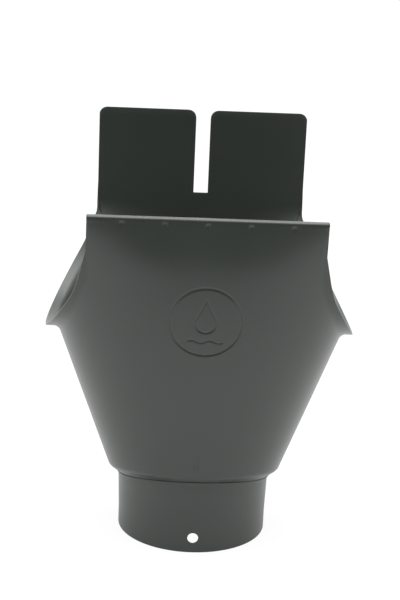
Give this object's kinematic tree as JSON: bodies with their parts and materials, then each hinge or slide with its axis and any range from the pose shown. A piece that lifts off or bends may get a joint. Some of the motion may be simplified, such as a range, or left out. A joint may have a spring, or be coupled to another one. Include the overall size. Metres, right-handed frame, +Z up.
{
  "type": "gutter spout",
  "caption": "Spout that hangs under a half-round roof gutter and leads the water down into a round downpipe.",
  "frame": {"origin": "middle of the outlet tube's lower rim, on the plane of the rim", "axes": "+Z up the outlet tube, X along the gutter, the front edge with the fold faces -Y and the rear tabs are at +Y"},
  "size_m": [0.199, 0.162, 0.2681],
  "materials": {
    "painted_sheet": "satin anthracite coil coating on aluminium sheet",
    "painted_tube": "satin anthracite coil coating on an aluminium tube"
  },
  "bodies": {
    "root": {"hopper_body": "painted_sheet", "outlet_tube": "painted_tube"}
  },
  "joints": []
}
